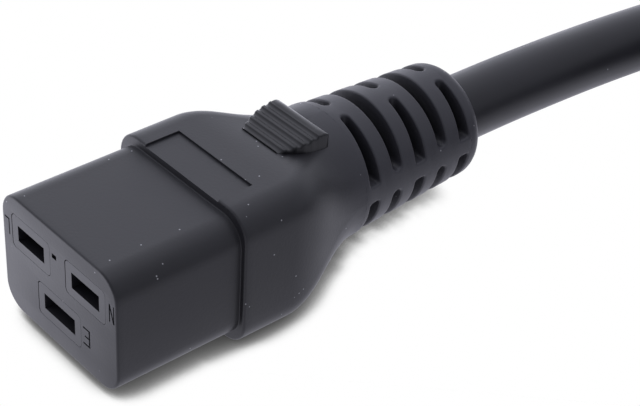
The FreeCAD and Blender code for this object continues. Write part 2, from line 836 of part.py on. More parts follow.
EXIT_ROUTE = (
    (0.0, size(BOOT_END), size("boot_rise")),
    (0.0, 82.0, size("boot_rise")),
    (0.1, 94.0, 0.38),
    (0.25, 106.0, -0.12),
    (0.6, 118.0, -0.82),
    (1.1, size("coil_centre_along - coil_lead_in"), -1.6),
)
TAIL_ROUTE = (
    (131.6, size("coil_centre_along - coil_lead_in"), 3.0),
    (131.2, 117.0, 2.48),
    (130.3, 105.0, 1.9),
    (129.2, 94.0, 1.35),
    (size("plug_across"), 83.0, size(PLUG_RISE)),
    (size("plug_across"), size(f"plug_along + {PLUG_END}"), size(PLUG_RISE)),
)


def cord(node, route):
    """The lead along a route, with its bend radii and its volume set against section times length."""
    bar, long, radii = swept(route, size(CORD_RADIUS))
    expected = math.pi * size(CORD_RADIUS) ** 2 * long
    bends = [round(radius) for radius in radii]
    print(f"{node}: {long:.1f} mm, radii {bends}, volume {bar.Volume / expected:.5f} of expected")
    return piece(node, shaped(node, bar))


def cord_coil():
    """The outside of the coil's strands: a turned ring, with the lead's way in and out."""
    owner = body("coil_ring")
    band = "coil_layers * cord_diameter"
    section = rounded_section(owner, "coil_section", "0", band, band, CORD_RADIUS, f"{FLOOR} + {band} / 2")
    bind(section, AttachmentOffset__Base__x="coil_middle_radius")
    ring = owner.newObject("PartDesign::Revolution", "coil_turn")
    ring.Profile = section
    ring.ReferenceAxis = (next(f for f in owner.Origin.OriginFeatures if f.Role == "Z_Axis"), [""])
    ring.Angle = 360
    move(owner, "coil_centre_across", "coil_centre_along", "0")
    leads = []
    ends = (("coil_way_in", EXIT_ROUTE[-1], EXIT_ROUTE[-2]), ("coil_way_out", TAIL_ROUTE[0], TAIL_ROUTE[1]))
    for name, end, before in ends:
        start = Vector(*end)
        on = start - Vector(*before)
        on.multiply(size("coil_lead_in") / on.y)
        leads.append(shaped(name, Part.makeCylinder(size(CORD_RADIUS), on.Length, start, on)))
    return piece("cord_coil", joined("cord_coil", owner, *leads))


cord("cord_tube", EXIT_ROUTE)
cord("cord_tail", TAIL_ROUTE)
cord_coil()

doc.recompute()
failed = [thing.Name for thing in doc.Objects if {"Invalid", "Error"} & set(thing.State)]
if failed:
    raise RuntimeError(f"these objects failed: {failed}")
os.makedirs("parts", exist_ok=True)
for node, thing in PIECES.items():
    if thing.Shape.isNull() or not thing.Shape.isValid() or not thing.Shape.Solids:
        raise RuntimeError(f"{node} has no sound shape")
    thing.Shape.exportStep(f"parts/{node}.step")
    print(f"{node}: {len(thing.Shape.Solids)} solid, {thing.Shape.Volume:.1f} mm3")
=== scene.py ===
import math

import bpy
import bmesh
import numpy as np
from bpy.props import FloatProperty, FloatVectorProperty, IntProperty, PointerProperty
from mathutils import Euler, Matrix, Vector
from mathutils.geometry import tessellate_polygon


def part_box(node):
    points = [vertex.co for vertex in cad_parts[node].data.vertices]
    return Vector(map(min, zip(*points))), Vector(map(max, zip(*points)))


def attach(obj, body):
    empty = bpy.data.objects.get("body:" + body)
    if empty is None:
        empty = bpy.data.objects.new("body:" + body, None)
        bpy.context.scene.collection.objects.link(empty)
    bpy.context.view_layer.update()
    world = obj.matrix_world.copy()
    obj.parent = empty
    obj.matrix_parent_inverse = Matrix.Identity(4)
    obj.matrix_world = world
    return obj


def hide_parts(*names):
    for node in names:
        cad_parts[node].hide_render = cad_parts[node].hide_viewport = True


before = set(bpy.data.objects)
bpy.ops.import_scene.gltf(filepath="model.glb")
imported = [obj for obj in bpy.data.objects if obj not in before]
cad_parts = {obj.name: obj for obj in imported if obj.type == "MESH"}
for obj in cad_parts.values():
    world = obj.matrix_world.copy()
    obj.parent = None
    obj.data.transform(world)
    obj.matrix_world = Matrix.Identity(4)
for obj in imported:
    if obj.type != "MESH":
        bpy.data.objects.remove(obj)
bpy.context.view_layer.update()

bl_info = {
    "name": "Moulded Mains Connector",
    "version": (1, 0, 0),
    "blender": (4, 5, 0),
    "location": "3D View > Sidebar > Connector",
    "description": "Finishes a moulded mains connector, its lead and the plug at the lead's far end",
    "category": "Object",
}

MM = 0.001
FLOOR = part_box("cord_coil")[0][2]


# Sizes and colours


class ConnectorSizes(bpy.types.PropertyGroup):
    block_width: FloatProperty(
        name="Block width", description="Engagement block, across",
        default=27.4 * MM, unit="LENGTH",
    )
    block_height: FloatProperty(
        name="Block height", description="Engagement block, up",
        default=19.9 * MM, unit="LENGTH",
    )
    block_corner: FloatProperty(
        name="Block corner", description="Radius of the block's long edges",
        default=3.9 * MM, unit="LENGTH",
    )
    block_length: FloatProperty(
        name="Block length", description="Mating face to flange",
        default=20.7 * MM, unit="LENGTH",
    )
    flange_side: FloatProperty(
        name="Flange side step", description="How far the flange stands out at each side",
        default=1.0 * MM, unit="LENGTH",
    )
    flange_top: FloatProperty(
        name="Flange top step", description="How far the flange stands out above and below",
        default=1.45 * MM, unit="LENGTH",
    )
    flange_corner: FloatProperty(
        name="Flange corner", description="Radius of the flange's long edges",
        default=4.3 * MM, unit="LENGTH",
    )
    flange_length: FloatProperty(
        name="Flange length", description="Straight part of the flange body",
        default=8.8 * MM, unit="LENGTH",
    )
    shoulder_length: FloatProperty(
        name="Shoulder length", description="From the flange body to the strain relief",
        default=17.3 * MM, unit="LENGTH",
    )
    boot_length: FloatProperty(
        name="Strain relief length", description="Length of the slotted boot",
        default=25.7 * MM, unit="LENGTH",
    )
    boot_front: FloatProperty(
        name="Strain relief front radius", description="Radius where the boot begins",
        default=10.6 * MM, unit="LENGTH",
    )
    boot_rear: FloatProperty(
        name="Strain relief rear radius", description="Radius where the boot ends",
        default=9.3 * MM, unit="LENGTH",
    )
    boot_rise: FloatProperty(
        name="Strain relief rise", description="Height of the boot's axis over the block's",
        default=0.7 * MM, unit="LENGTH",
    )


class CordSizes(bpy.types.PropertyGroup):
    diameter: FloatProperty(
        name="Lead diameter", description="Over the jacket",
        default=11.0 * MM, unit="LENGTH",
    )
    length: FloatProperty(
        name="Lead length", description="Boot to boot",
        default=1.5, unit="LENGTH",
    )
    coil_radius: FloatProperty(
        name="Coil radius", description="To the middle of the coil's strands",
        default=60.0 * MM, unit="LENGTH",
    )
    points_per_turn: IntProperty(
        name="Points per turn", description="Control points in one turn of the coil",
        default=24, min=12,
    )


class FinishColours(bpy.types.PropertyGroup):
    moulding: FloatVectorProperty(
        name="Moulding", description="Black PVC of the mouldings",
        subtype="COLOR", size=3, default=(0.0190, 0.0188, 0.0225),
    )
    jacket: FloatVectorProperty(
        name="Jacket", description="Black PVC of the lead",
        subtype="COLOR", size=3, default=(0.0165, 0.0165, 0.0205),
    )
    dust: FloatVectorProperty(
        name="Dust", description="Pale specks of dust",
        subtype="COLOR", size=3, default=(0.42, 0.42, 0.44),
    )
    brass: FloatVectorProperty(
        name="Contact brass", description="Pressed contact sheet",
        subtype="COLOR", size=3, default=(0.62, 0.43, 0.16),
    )
    plated: FloatVectorProperty(
        name="Plated pin", description="Nickel plating",
        subtype="COLOR", size=3, default=(0.62, 0.60, 0.56),
    )
    brown: FloatVectorProperty(
        name="Line core", description="Brown insulation",
        subtype="COLOR", size=3, default=(0.13, 0.045, 0.018),
    )
    blue: FloatVectorProperty(
        name="Neutral core", description="Blue insulation",
        subtype="COLOR", size=3, default=(0.01, 0.05, 0.30),
    )
    green: FloatVectorProperty(
        name="Earth core", description="Green of the striped insulation",
        subtype="COLOR", size=3, default=(0.02, 0.23, 0.03),
    )
    copper: FloatVectorProperty(
        name="Copper", description="Bare conductor",
        subtype="COLOR", size=3, default=(0.72, 0.28, 0.12),
    )


class StageSettings(bpy.types.PropertyGroup):
    lens: FloatProperty(
        name="Lens", description="Focal length in millimetres",
        default=98.97, min=10.0,
    )
    camera_place: FloatVectorProperty(
        name="Camera place", description="Where the camera stands",
        size=3, unit="LENGTH", default=(0.16035, -0.10063, 0.15200),
    )
    camera_aim: FloatVectorProperty(
        name="Camera aim", description="The point that the camera looks at",
        size=3, unit="LENGTH", default=(0.01734, 0.03134, 0.01152),
    )
    camera_roll: FloatProperty(
        name="Camera roll", description="Turn about the line of sight",
        subtype="ANGLE", default=math.radians(3.554),
    )


SETTINGS = {
    "connector_sizes": ConnectorSizes,
    "cord_sizes": CordSizes,
    "finish_colours": FinishColours,
    "stage_settings": StageSettings,
}


# Node-based materials. Every pattern reads Object coordinates, which are metres in the part's frame, so the scale of
# a noise or of cells is about their number to a metre.

FINISHES = {   # roughness, strength of the grain, and the share of cells that hold a speck of dust
    "moulded_pvc": (0.42, 0.6, 0.55),
    # The grip's darker copy of the moulding, as painted shade
    "shaded_grip_pvc": (0.31, 0.20, 0.5),
    "hard_insert": (0.40, 0.08, 0.30),
    "plug_pvc": (0.42, 0.6, 0.30),
    "inner_moulding_pvc": (0.55, 0.10, 0.0),
    "jacket_inside": (0.45, 0.08, 0.0),
    "lead_jacket": (0.42, 0.06, 0.04),
}
METAL_ROUGHNESS = {"contact_brass": 0.34, "plated_pin": 0.28, "bare_copper": 0.35}
CORE_ROUGHNESS = 0.38
PVC_IOR = 1.53

SLOW_SCALE = 70.0
GRAIN_SCALE = 2000.0
GRAIN_DEPTH = 0.00003   # metres
DUST_SCALE = 520.0
DUST_SIZE = 0.072   # share of a cell
ROLLING_SCALE = 4000.0
ROLLING_DEPTH = 0.00002   # metres
TARNISH_SCALE = 300.0
CORE_SCALE = 200.0
STRIPE_SCALE = 180.0

# Shares that a colour is made darker or lighter by

DARK_TONE = 0.86
LIGHT_TONE = 1.22
# Painted shade: the share that the colour deep in the strain relief's slots is darkened by
SLOT_SHADE_TONE = 0.35
# Painted sheen: the share that the rear of the shoulder and the strain relief are made paler by
SHEEN_TONE = 2.4
# Painted shade: the grip is the same moulding, coloured darker
GRIP_SHADE_TONE = 0.55
INSERT_TONE = 1.05
TARNISH_TONE = 0.72
CORE_TONE = 0.85

SHEEN_ROUGHNESS = 0.05   # added to the roughness where the sheen is painted
INNER_GREY = (0.08, 0.08, 0.08)
STRIPE_YELLOW = (0.75, 0.62, 0.02)


def new_material(name):
    """A material with an empty principled shader, and the shader, its tree and an adder of nodes."""
    material = bpy.data.materials.new(name)
    material.use_nodes = True
    tree = material.node_tree
    shader = tree.nodes["Principled BSDF"]

    def add(kind, **inputs):
        node = tree.nodes.new(kind)
        for key, value in inputs.items():
            node.inputs[key.replace("_", " ")].default_value = value
        return node

    return material, shader, tree, add


def shaded(colour, share):
    """The colour made darker or lighter by a share, with no channel past 1."""
    return tuple(min(1.0, channel * share) for channel in colour)


def mixed(tree, add, factor, first, second):
    """Colour mix of two fixed colours or sockets by a factor socket."""
    node = add("ShaderNodeMix")
    node.data_type = "RGBA"
    tree.links.new(factor, node.inputs["Factor"])
    for value, index in ((first, 6), (second, 7)):
        if hasattr(value, "is_linked"):
            tree.links.new(value, node.inputs[index])
        else:
            node.inputs[index].default_value = (*value, 1.0)
    return node.outputs[2]


def ranged(tree, add, socket, low, high, to_low, to_high):
    """Map a socket's range to another, clamped."""
    node = add("ShaderNodeMapRange")
    tree.links.new(socket, node.inputs["Value"])
    for word, value in (("From Min", low), ("From Max", high), ("To Min", to_low), ("To Max", to_high)):
        node.inputs[word].default_value = value
    return node.outputs["Result"]


def maths(tree, operation, *values):
    """One step of arithmetic on numbers and sockets."""
    node = tree.nodes.new("ShaderNodeMath")
    node.operation = operation
    for value, socket in zip(values, node.inputs):
        if hasattr(value, "is_linked"):
            tree.links.new(value, socket)
        else:
            socket.default_value = value
    return node.outputs[0]


def mixed_shaders(tree, factor, first, second):
    """Mix of two shaders' sockets by a factor socket."""
    node = tree.nodes.new("ShaderNodeMixShader")
    for socket, source in zip(node.inputs, (factor, first, second)):
        tree.links.new(source, socket)
    return node.outputs[0]


def noise(tree, add, place, scale, detail=3.0):
    """Smooth random values about the middle of 0 to 1."""
    node = add("ShaderNodeTexNoise", Scale=scale, Detail=detail)
    tree.links.new(place, node.inputs["Vector"])
    return node.outputs["Fac"]


def dust_specks(tree, add, place, share):
    """Specks: the inside of a small ball about some of a cell pattern's points."""
    cells = add("ShaderNodeTexVoronoi", Scale=DUST_SCALE)
    tree.links.new(place, cells.inputs["Vector"])
    chance = add("ShaderNodeSeparateColor")
    tree.links.new(cells.outputs["Color"], chance.inputs["Color"])
    near = ranged(tree, add, cells.outputs["Distance"], DUST_SIZE * 0.6, DUST_SIZE, 1.0, 0.0)
    chosen = ranged(tree, add, chance.outputs["Red"], 1.0 - share, 1.0 - share + 0.02, 0.0, 1.0)
    return maths(tree, "MULTIPLY", near, chosen)


def moulded_pvc(name, colour, sheen_span=None):
    """Soft PVC: fine spark-eroded grain, slow changes of gloss and tone, and specks of dust. Where the mesh has the
    attribute slot_shade it is painted dark and dull, as shade in the slots, and along a span of Y it is painted paler
    and duller, as sheen."""
    roughness, grain, speck_share = FINISHES[name]
    material, shader, tree, add = new_material(name)
    place = add("ShaderNodeTexCoord").outputs["Object"]
    slow = noise(tree, add, place, SLOW_SCALE)
    fine = noise(tree, add, place, GRAIN_SCALE)
    cloud = ranged(tree, add, slow, 0.35, 0.65, 0.0, 1.0)
    tone = mixed(tree, add, cloud, shaded(colour, DARK_TONE), shaded(colour, LIGHT_TONE))
    rough = ranged(tree, add, slow, 0.3, 0.7, roughness - 0.04, roughness + 0.05)
    # Painted sheen: along the span of Y the tone turns paler and the roughness rises
    if sheen_span:
        along = add("ShaderNodeSeparateXYZ")
        tree.links.new(place, along.inputs["Vector"])
        sheen = ranged(tree, add, along.outputs["Y"], *sheen_span, 0.0, 1.0)
        tone = mixed(tree, add, sheen, tone, shaded(colour, SHEEN_TONE))
        rough = maths(tree, "MULTIPLY_ADD", sheen, SHEEN_ROUGHNESS, rough)
    specks = dust_specks(tree, add, place, speck_share)
    dusty = mixed(tree, add, specks, tone, bpy.context.scene.finish_colours.dust)
    # Painted shade: dark and dull where the slot_shade attribute says a point lies deep in a slot
    slot_shade = add("ShaderNodeAttribute")
    slot_shade.attribute_name = "slot_shade"
    deep = slot_shade.outputs["Fac"]
    base = mixed(tree, add, deep, dusty, shaded(colour, SLOT_SHADE_TONE))
    tree.links.new(base, shader.inputs["Base Color"])
    tree.links.new(maths(tree, "MAXIMUM", rough, deep), shader.inputs["Roughness"])
    bump = add("ShaderNodeBump", Strength=grain, Distance=GRAIN_DEPTH)
    tree.links.new(fine, bump.inputs["Height"])
    tree.links.new(bump.outputs["Normal"], shader.inputs["Normal"])
    shader.inputs["IOR"].default_value = PVC_IOR
    return material


def sheet_metal(name, colour):
    """Pressed metal: rolling lines along the piece and a faint tarnish."""
    roughness = METAL_ROUGHNESS[name]
    material, shader, tree, add = new_material(name)
    place = add("ShaderNodeTexCoord").outputs["Object"]
    stretch = add("ShaderNodeMapping", Scale=(1.0, 0.05, 1.0))
    tree.links.new(place, stretch.inputs["Vector"])
    lines = noise(tree, add, stretch.outputs["Vector"], ROLLING_SCALE, 4.0)
    tarnish = ranged(tree, add, noise(tree, add, place, TARNISH_SCALE), 0.4, 0.7, 0.0, 1.0)
    base = mixed(tree, add, tarnish, colour, shaded(colour, TARNISH_TONE))
    tree.links.new(base, shader.inputs["Base Color"])
    rough = ranged(tree, add, lines, 0.3, 0.7, roughness - 0.06, roughness + 0.08)
    tree.links.new(rough, shader.inputs["Roughness"])
    bump = add("ShaderNodeBump", Strength=0.08, Distance=ROLLING_DEPTH)
    tree.links.new(lines, bump.inputs["Height"])
    tree.links.new(bump.outputs["Normal"], shader.inputs["Normal"])
    shader.inputs["Metallic"].default_value = 1.0
    return material


def insulation(name, colour, stripe=None):
    """Core insulation: smooth PVC, with a stripe of a second colour along the core where it has one."""
    material, shader, tree, add = new_material(name)
    place = add("ShaderNodeTexCoord").outputs["Object"]
    tone = noise(tree, add, place, CORE_SCALE)
    base = mixed(tree, add, tone, shaded(colour, CORE_TONE), colour)
    if stripe:
        bands = add("ShaderNodeTexWave", Scale=STRIPE_SCALE, Distortion=0.0)
        bands.bands_direction = "X"
        tree.links.new(place, bands.inputs["Vector"])
        base = mixed(tree, add, ranged(tree, add, bands.outputs["Fac"], 0.62, 0.68, 0.0, 1.0), base, stripe)
    tree.links.new(base, shader.inputs["Base Color"])
    shader.inputs["Roughness"].default_value = CORE_ROUGHNESS
    return material


# Numpy surfaces


def grid_faces(rows, columns, closed):
    """Quads between neighbouring points of a grid; closed joins the last column to the first."""
    index = np.arange(rows * columns).reshape(rows, columns)
    if closed:
        index = np.hstack([index, index[:, :1]])
    corners = (index[:-1, :-1], index[:-1, 1:], index[1:, 1:], index[1:, :-1])
    return np.stack(corners, axis=-1).reshape(-1, 4).tolist()


def capped(points, faces, loop, at):
    """Close a loop of points with a fan to its middle, pushed to the given height along Y."""
    ring = points[loop]
    middle = ring.mean(axis=0)
    middle[1] = at
    apex = len(points)
    following = np.roll(loop, -1)
    fan = np.stack([loop, following, np.full(len(loop), apex)], axis=-1).tolist()
    return np.vstack([points, middle]), faces + fan


MERGE_DISTANCE = 2e-6
SLIVER_LENGTH = 1e-6
SHARP_ANGLE = math.radians(38.0)


def add_piece(name, points, faces, material, slot, stands_for):
    """Make a closed mesh from points and faces, merge what coincides, and turn its faces outwards."""
    mesh = bpy.data.meshes.new(name)
    mesh.from_pydata(points, [], faces)
    shell = bmesh.new()
    shell.from_mesh(mesh)
    bmesh.ops.remove_doubles(shell, verts=shell.verts, dist=MERGE_DISTANCE)
    bmesh.ops.dissolve_degenerate(shell, edges=shell.edges, dist=SLIVER_LENGTH)
    bmesh.ops.recalc_face_normals(shell, faces=shell.faces)
    shell.to_mesh(mesh)
    shell.free()
    mesh.polygons.foreach_set("use_smooth", np.ones(len(mesh.polygons), dtype=bool))
    mesh.set_sharp_from_angle(angle=SHARP_ANGLE)
    mesh.materials.append(material)
    piece = bpy.data.objects.new(name, mesh)
    bpy.context.scene.collection.objects.link(piece)
    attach(piece, "root")
    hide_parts(*stands_for)
    return piece


ARC_STEPS = 10
ROUND_STEPS = 5
FILLET_STEPS = 3
EVEN_SHARES = np.linspace(1, -1, 11)[1:-1]


def rounded_rings(y, width, height, corner, rise, top_shares):
    """Rounded rectangles across Y, one per row: four quarter circles of the corner radius joined by straight sides.
    The top side's points lie at given shares of its half length, the other sides' at even shares."""
    columns = (np.atleast_1d(v).astype(float)[:, None] for v in (y, width, height, corner, rise))
    y, width, height, corner, rise = columns
    half_w, half_h = width / 2 - corner, height / 2 - corner
    quarter = np.linspace(0, math.pi / 2, ARC_STEPS + 1)[None, :]
    side = EVEN_SHARES[None, :]
    top = np.asarray(top_shares)[None, :]
    ones = np.ones_like
    sides = (
        (half_w * top, (half_h + corner) * ones(top)),
        (-(half_w + corner) * ones(side), half_h * side),
        (-half_w * side, -(half_h + corner) * ones(side)),
        ((half_w + corner) * ones(side), -half_h * side),
    )
    parts = []
    for turn, (sx, sz) in enumerate(((1, 1), (-1, 1), (-1, -1), (1, -1))):
        a = quarter + turn * math.pi / 2
        parts += [(sx * half_w + corner * np.cos(a), sz * half_h + corner * np.sin(a)), sides[turn]]
    x = np.hstack([part[0] for part in parts])
    z = np.hstack([part[1] for part in parts]) + rise
    return np.stack([x, np.broadcast_to(y, x.shape), z], axis=-1)


def softened(start, radius):
    """Rows of a convex quarter round that begins on a face across Y: (y, inset) from the face to the side."""
    t = np.linspace(0, math.pi / 2, ROUND_STEPS + 1)
    return start + radius * (1 - np.cos(t)), radius * (1 - np.sin(t))


def hollowed(end, radius):
    """Rows of a concave quarter round that ends on a face across Y: (y, inset), growing outwards."""
    t = np.linspace(0, math.pi / 2, FILLET_STEPS + 1)
    return end - radius + radius * np.sin(t), -radius * (1 - np.cos(t))


def s_curve(first, last, share):
    """From one value to another along half a cosine wave."""
    return first + (last - first) * (1 - np.cos(math.pi * share)) / 2


SHOULDER_ROWS = 44
SHOULDER_DIP = 1.05 * MM
DIP_LATENESS = 1.25
NECK_LIP = 0.2 * MM
NECK_FLAT = 0.05 * MM
NECK_STEP = 3.0 * MM


def shoulder_rows(start, length, width, height, corner, neck, rise):
    """Rows from a rounded rectangle to a round neck, each size along the same S, less a dip in the top: a squared sine
    of a power of the length's share, so that it is deepest past the middle."""
    share = np.linspace(0, 1, SHOULDER_ROWS + 1)
    low = SHOULDER_DIP * np.sin(math.pi * share**DIP_LATENESS) ** 2
    return (
        start + length * share,
        s_curve(width, 2 * neck, share),
        s_curve(height, 2 * neck, share) - low,
        s_curve(corner, neck - NECK_FLAT, share),
        s_curve(0.0, rise, share) - low / 2,
    )


def stacked(*groups):
    """Join groups of rows (y, width, height, corner, rise) end to end."""
    columns = []
    for values in zip(*groups):
        columns.append(np.concatenate([np.atleast_1d(v).astype(float) for v in values]))
    return columns


def inset_rows(y, inset, width, height, corner):
    """Rows of one rounded rectangle, drawn in by the inset."""
    y = np.atleast_1d(y)
    inset = np.broadcast_to(inset, y.shape)
    return y, width - 2 * inset, height - 2 * inset, corner - inset, np.zeros_like(y)


def closing_rows(y, neck, rise):
    """A step in from the neck, to close it."""
    radius = np.array([neck - NECK_STEP])
    return np.array([y]), 2 * radius, 2 * radius, radius - NECK_FLAT, np.array([rise])


def pierced_face(outer, holes, y):
    """A flat face across Y between an outline and the holes in it, all given as x and z."""
    loops = [[Vector((x, z, 0.0)) for x, z in loop] for loop in (outer, *holes)]
    points = np.vstack([np.asarray(loop)[:, :2] for loop in (outer, *holes)])
    flat = np.stack([points[:, 0], np.full(len(points), y), points[:, 1]], axis=-1)
    return flat, [tuple(t) for t in tessellate_polygon(loops)]


def well(outline, levels):
    """A hole's walls and floor: rings of an outline at (depth, inset) pairs, closed at the last."""
    outline = np.asarray(outline)
    middle = outline.mean(axis=0)
    span = outline - middle
    reach = np.abs(span).max(axis=0)
    rings = []
    for depth, inset in levels:
        ring = middle + span * (1 - inset / reach)
        rings.append(np.stack([ring[:, 0], np.full(len(ring), depth), ring[:, 1]], axis=-1))
    grid = np.stack(rings)
    faces = grid_faces(*grid.shape[:2], True)
    last = np.arange(len(outline)) + (len(levels) - 1) * len(outline)
    return capped(grid.reshape(-1, 3), faces, last, levels[-1][0])


def gathered(*shells):
    """Put several (points, faces) together as one."""
    points, faces, base = [], [], 0
    for part_points, part_faces in shells:
        points.append(part_points)
        faces += [tuple(i + base for i in face) for face in part_faces]
        base += len(part_points)
    return np.vstack(points), faces


# Letters for the poles, as outlines in a unit box, and where they stand: low x and z, high x and z, in millimetres

LETTERS = {
    "L": ((0, 0), (1, 0), (1, 0.09), (0.2, 0.09), (0.2, 1), (0, 1)),
    "N": ((0, 0), (0.2, 0), (0.2, 0.72), (0.76, 0), (1, 0), (1, 1), (0.8, 1), (0.8, 0.28), (0.24, 1), (0, 1)),
    "E": (
        (0, 0), (1, 0), (1, 0.09), (0.18, 0.09), (0.18, 0.45), (0.75, 0.45),
        (0.75, 0.54), (0.18, 0.54), (0.18, 0.91), (1, 0.91), (1, 1), (0, 1),
    ),
}
LETTER_BOXES = {
    "L": (-13.0, 2.7, -11.85, 5.5),
    "N": (11.95, 2.75, 13.15, 5.8),
    "E": (5.65, -5.25, 7.3, -2.2),
}


def letter_outline(letter):
    """The letter turned by half a turn, so that it reads with the earth pole up."""
    low_x, low_z, high_x, high_z = LETTER_BOXES[letter]
    shape = np.array(LETTERS[letter])
    x = high_x - shape[:, 0] * (high_x - low_x)
    z = high_z - shape[:, 1] * (high_z - low_z)
    return np.stack([x, z], axis=-1) * MM


# The mating face's chambers, their seams and the small vent, in millimetres

POLES = {"line": (-6.5, 4.15, 6.4), "neutral": (6.5, 4.15, 6.4), "earth": (0.0, -3.9, 7.4)}   # x, z, slot's length
SLOT_HEIGHT = 2.65
CHAMBER_WALL = 1.4
CHAMBER_COVER = 1.5
CHAMBER_CORNER = 0.8
SEAM_LEFT = 0.15
SEAM_RIGHT = 0.04
SEAM_ENDS = 0.05
VENT_BOX = (-1.3, 5.18, -0.26, 5.92)   # low x and z, high x and z


def chamber_outline(pole):
    """The end of a pole's chamber, with the seam round it, which is widest at its left."""
    x, z, slot = POLES[pole]
    width = slot + 2 * CHAMBER_WALL + SEAM_LEFT + SEAM_RIGHT
    height = SLOT_HEIGHT + 2 * CHAMBER_COVER + 2 * SEAM_ENDS
    ring = rounded_rings(0, width, height, CHAMBER_CORNER, 0, EVEN_SHARES)[0]
    return (ring[:, [0, 2]] + (x + (SEAM_RIGHT - SEAM_LEFT) / 2, z)) * MM


def vent_outline():
    """The four corners of the vent."""
    low_x, low_z, high_x, high_z = VENT_BOX
    return np.array([(high_x, high_z), (low_x, high_z), (low_x, low_z), (high_x, low_z)]) * MM


# Body of the connector

SEAM_DEPTH = 0.45 * MM
CHAMBER_LEDGE = 0.5 * MM
CHAMBER_DEPTH = 16.5 * MM
VENT_DEPTH = 2.0 * MM
LETTER_DEPTH = 0.16 * MM
NOSE_ROUND = 0.38 * MM
FLANGE_ROUND = 0.4 * MM
STEP_FILLET = 0.12 * MM
BLOCK_ROWS = 12
BLOCK_ROW_ENDS = (1.2 * MM, 0.6 * MM)   # the plain rows keep this far from the face and from the flange
PANEL_HALF = 8.4 * MM
PANEL_LENGTH = 6.0 * MM
PANEL_DEPTH = 0.35 * MM
PANEL_ROWS = (1.5 * MM, 3.5 * MM)   # rows in the panel, from the flange's front, before its end
PANEL_COLUMNS = 15
BESIDE_PANEL = (0.97, 0.9)   # shares of the flange's half width
LAST_FLANGE_ROW = 1.0 * MM


def connector_body(sizes):
    """Rings of rounded rectangles along Y from the mating face to the neck; the top dips in the label panel."""
    block = (sizes.block_width, sizes.block_height, sizes.block_corner)
    flange = (
        sizes.block_width + 2 * sizes.flange_side,
        sizes.block_height + 2 * sizes.flange_top,
        sizes.flange_corner,
    )
    flange_half = flange[0] / 2 - flange[2]
    edge = PANEL_HALF / flange_half
    across = np.linspace(edge, -edge, PANEL_COLUMNS)
    outer = np.array([*BESIDE_PANEL, edge])
    top_shares = np.concatenate([outer, across, -outer[::-1]])
    length = sizes.block_length
    panel_end = length + PANEL_LENGTH
    straight_end = length + sizes.flange_length
    neck = sizes.boot_front + NECK_LIP
    y_nose, nose = softened(0.0, NOSE_ROUND)
    y_step, step = hollowed(length, STEP_FILLET)
    y_edge, edge_inset = softened(length, FLANGE_ROUND)
    y_block = np.linspace(BLOCK_ROW_ENDS[0], length - BLOCK_ROW_ENDS[1], BLOCK_ROWS)
    y_panel = [*(length + y for y in PANEL_ROWS), panel_end]
    y_flange = np.array([*y_panel, panel_end, straight_end - LAST_FLANGE_ROW])
    rows = stacked(
        inset_rows(y_nose, nose, *block),
        inset_rows(y_block, 0.0, *block),
        inset_rows(y_step, step, *block),
        inset_rows(y_edge, edge_inset, *flange),
        inset_rows(y_flange, 0.0, *flange),
        shoulder_rows(straight_end, sizes.shoulder_length, *flange, neck, sizes.boot_rise),
        closing_rows(straight_end + sizes.shoulder_length, neck, sizes.boot_rise),
    )
    grid = rounded_rings(*rows, top_shares)
    row_count, column_count = grid.shape[:2]
    first_flange = len(y_nose) + len(y_block) + len(y_step)
    first_top = ARC_STEPS + 1 + len(outer)
    panel_rows = slice(first_flange, first_flange + len(y_edge) + len(y_panel))
    panel_columns = slice(first_top, first_top + len(across))
    panel = grid[panel_rows, panel_columns]
    panel[..., 2] = np.minimum(panel[..., 2], flange[1] / 2 - PANEL_DEPTH)
    faces = grid_faces(row_count, column_count, True)
    last = np.arange(column_count) + (row_count - 1) * column_count
    skin = capped(grid.reshape(-1, 3), faces, last, rows[0][-1])
    chambers = [chamber_outline(pole) for pole in POLES]
    letters = [letter_outline(letter) for letter in LETTERS]
    face = pierced_face(grid[0][:, [0, 2]], [*chambers, vent_outline(), *letters], 0.0)
    chamber_levels = (
        (0.0, 0.0), (SEAM_DEPTH, 0.0), (SEAM_DEPTH, CHAMBER_LEDGE), (CHAMBER_DEPTH, CHAMBER_LEDGE),
    )
    wells = [well(outline, chamber_levels) for outline in chambers]
    wells.append(well(vent_outline(), ((0.0, 0.0), (VENT_DEPTH, 0.0))))
    wells += [well(outline, ((0.0, 0.0), (LETTER_DEPTH, 0.0))) for outline in letters]
    return gathered(skin, face, *wells)


# Strain relief: a tapered skin in stretches along Y, each cut into two or four cells with one slot in each

RING_COUNT = 5
RING_FIRST = 2.0 * MM
RING_PITCH = 4.85 * MM
RING_EDGE = 0.28 * MM
ROOT_FILLET = 0.12 * MM
RING_FLOOR = 6.9 * MM
SLOT_BORDER = 0.45 * MM
SPLIT_SLOT = (1.08, 0.30)   # millimetres: half width at the side, and how much narrower it is at the top
LONG_SLOT = (0.93, 0.32, 0.10)   # millimetres: half width at the side, and how much wider on top and underneath
SIDE_HIGH = 2.2 * MM
SIDE_LOW = -0.6 * MM
LONG_SLOT_SHIFT = 0.5 * MM
TOP_RIGHT = 2.1 * MM
TOP_LEFT = -1.1 * MM
ROUND_END = 2    # powers of the superellipses at the slots' ends
BLUNT_END = 5
END_MARGIN = 1.0 * MM
END_ROUND = 2.4 * MM
LEAD_HOLE = 5.5 * MM
LEAD_HOLE_DEPTH = 1.0 * MM
# Depths in a slot where the painted shade begins and where it is full
SLOT_SHADE_START = 0.25 * MM
SLOT_SHADE_FULL = 0.7 * MM
LAST_STRETCH_END = 2.8 * MM
COLLAR = 3.2 * MM
QUARTER_COLUMNS = 24
CAP_POINTS = 13


def split_slot(angle):
    """Half width of a slot in a ring that is split on top too: it narrows towards the top and the underside."""
    side, narrower = SPLIT_SLOT
    return (side - narrower * np.abs(np.sin(angle)) ** 3) * MM


def long_slot(angle):
    """Half width of a slot that runs over the top or the underside: it widens towards the middle of its way."""
    side, above, below = LONG_SLOT
    up = np.sin(angle)
    return (side + np.where(up > 0, above, below) * up**2) * MM


